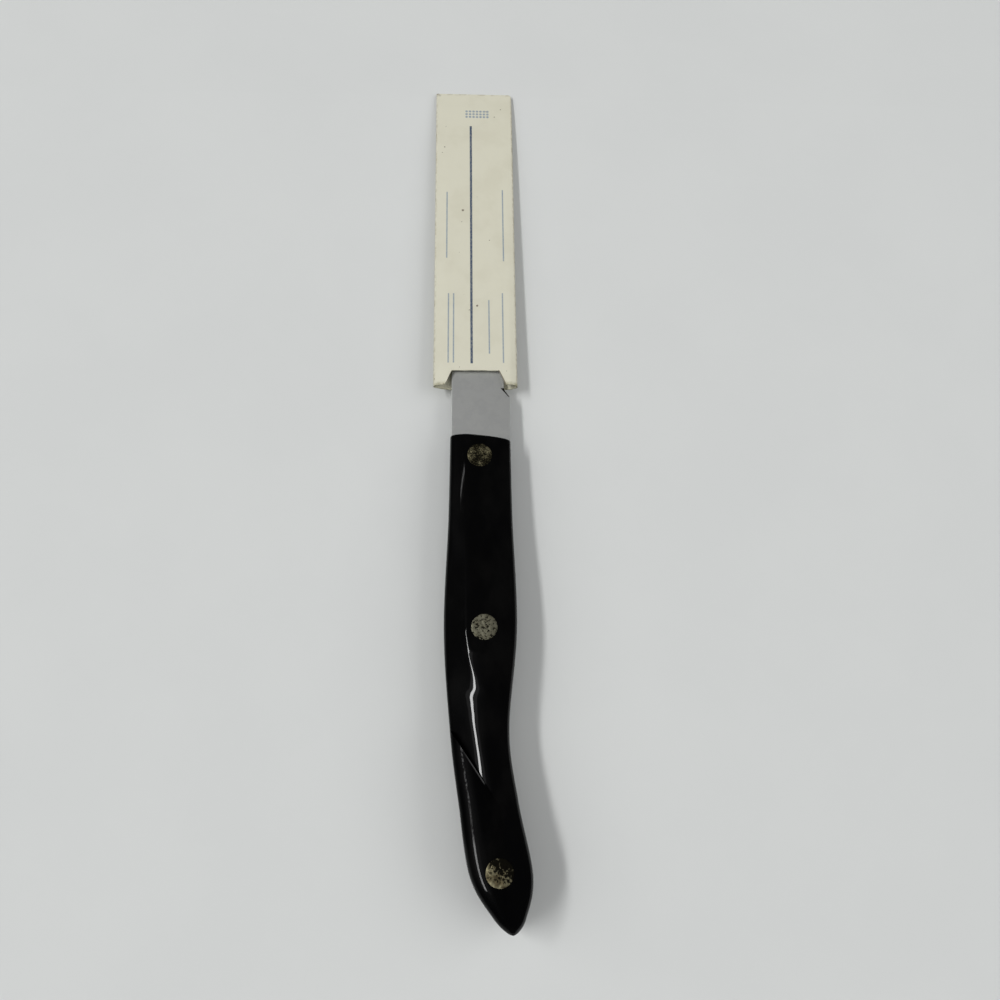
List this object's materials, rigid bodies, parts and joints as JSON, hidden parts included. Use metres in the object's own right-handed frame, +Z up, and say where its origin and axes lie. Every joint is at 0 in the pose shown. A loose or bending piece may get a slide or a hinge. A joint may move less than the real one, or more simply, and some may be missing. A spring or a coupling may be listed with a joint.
{
  "type": "trimming knife",
  "caption": "Serrated trimming knife with a riveted black resin handle and a folded card sleeve that slides off the blade.",
  "frame": {"origin": "on the table, under the middle of the box round the knife and its sleeve", "axes": "+Y from the butt to the sleeve's end, +X towards the cutting edge, +Z up, away from the table"},
  "size_m": [0.025, 0.2478, 0.0159],
  "materials": {
    "blade_steel": "satin",
    "handle_resin": "polished",
    "nickel_silver": "worn",
    "sleeve_card": "matt"
  },
  "bodies": {
    "knife": {"blade": "blade_steel", "scale_upper": "handle_resin", "scale_lower": "handle_resin", "rivet_front_pin": "nickel_silver", "rivet_front_tube": "nickel_silver", "rivet_middle_pin": "nickel_silver", "rivet_middle_tube": "nickel_silver", "rivet_rear_pin": "nickel_silver", "rivet_rear_tube": "nickel_silver"},
    "sleeve": {"sleeve": "sleeve_card"}
  },
  "joints": [
    {"name": "sleeve_slide", "type": "slide", "parent": "knife", "child": "sleeve", "axis": [0, 0.9994, -0.035], "range_m": [0, 0.105]}
  ]
}
